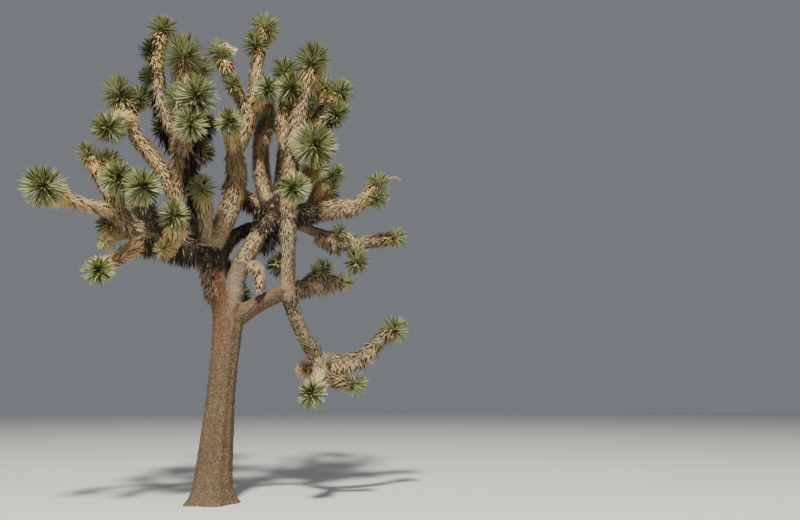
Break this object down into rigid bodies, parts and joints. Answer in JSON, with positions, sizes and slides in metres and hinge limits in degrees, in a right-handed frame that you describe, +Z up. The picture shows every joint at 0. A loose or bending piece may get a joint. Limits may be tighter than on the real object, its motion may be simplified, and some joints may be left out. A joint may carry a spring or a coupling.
{
  "type": "joshua tree",
  "caption": "Joshua tree with a thick corky trunk, upturned crooked limbs thatched in dry leaves, and spiky rosettes of dagger leaves at the limb ends.",
  "frame": {"origin": "middle of the trunk's foot, on the ground", "axes": "+Z up the tree, +X to the right and +Y to the back as seen in the picture"},
  "size_m": [5.5209, 4.5252, 7.7032],
  "materials": {
    "trunk_bark": "rough, corky",
    "limb_bark": "rough, flaking",
    "dead_leaf_thatch": "dry, fibrous",
    "leaf_rosettes": "waxy, half matte"
  },
  "bodies": {
    "root": {"trunk": "trunk_bark", "left_stem": "limb_bark", "west_bough": "limb_bark", "west_arm": "limb_bark", "west_hand": "dead_leaf_thatch", "west_low_arm": "dead_leaf_thatch", "left_crown_stem": "limb_bark", "left_arm": "dead_leaf_thatch", "left_spire": "dead_leaf_thatch", "middle_bough": "limb_bark", "middle_spire": "dead_leaf_thatch", "center_bough": "limb_bark", "center_spire": "limb_bark", "center_right_spire": "limb_bark", "right_elbow": "limb_bark", "right_riser": "limb_bark", "right_spire": "limb_bark", "east_bough": "limb_bark", "back_bough": "limb_bark", "back_bough_end": "dead_leaf_thatch", "drooping_bough": "dead_leaf_thatch", "drooping_arm": "dead_leaf_thatch", "hanging_stub": "dead_leaf_thatch", "back_left_bough": "limb_bark", "back_right_bough": "limb_bark", "far_left_head": "leaf_rosettes", "left_finger": "leaf_rosettes", "left_shoulder": "leaf_rosettes", "left_star": "leaf_rosettes", "left_stub": "leaf_rosettes", "low_left_head": "leaf_rosettes", "left_back_heads": "leaf_rosettes", "dusty_head": "leaf_rosettes", "inner_head": "leaf_rosettes", "left_arm_heads": "leaf_rosettes", "left_spire_heads": "leaf_rosettes", "left_top_heads": "leaf_rosettes", "left_front_heads": "leaf_rosettes", "left_shade_heads": "leaf_rosettes", "back_left_heads": "leaf_rosettes", "middle_top_heads": "leaf_rosettes", "middle_left_heads": "leaf_rosettes", "middle_low_head": "leaf_rosettes", "middle_right_head": "leaf_rosettes", "center_head": "leaf_rosettes", "crossing_head": "leaf_rosettes", "center_right_heads": "leaf_rosettes", "right_top_head": "leaf_rosettes", "right_star": "leaf_rosettes", "right_outer_heads": "leaf_rosettes", "right_hook_heads": "leaf_rosettes", "east_shade_heads": "leaf_rosettes", "east_end_heads": "leaf_rosettes", "back_bough_heads": "leaf_rosettes", "elbow_heads": "leaf_rosettes", "riser_head": "leaf_rosettes", "crotch_head": "leaf_rosettes", "drooping_heads": "leaf_rosettes", "droop_end_head": "leaf_rosettes", "back_right_heads": "leaf_rosettes"}
  },
  "joints": []
}
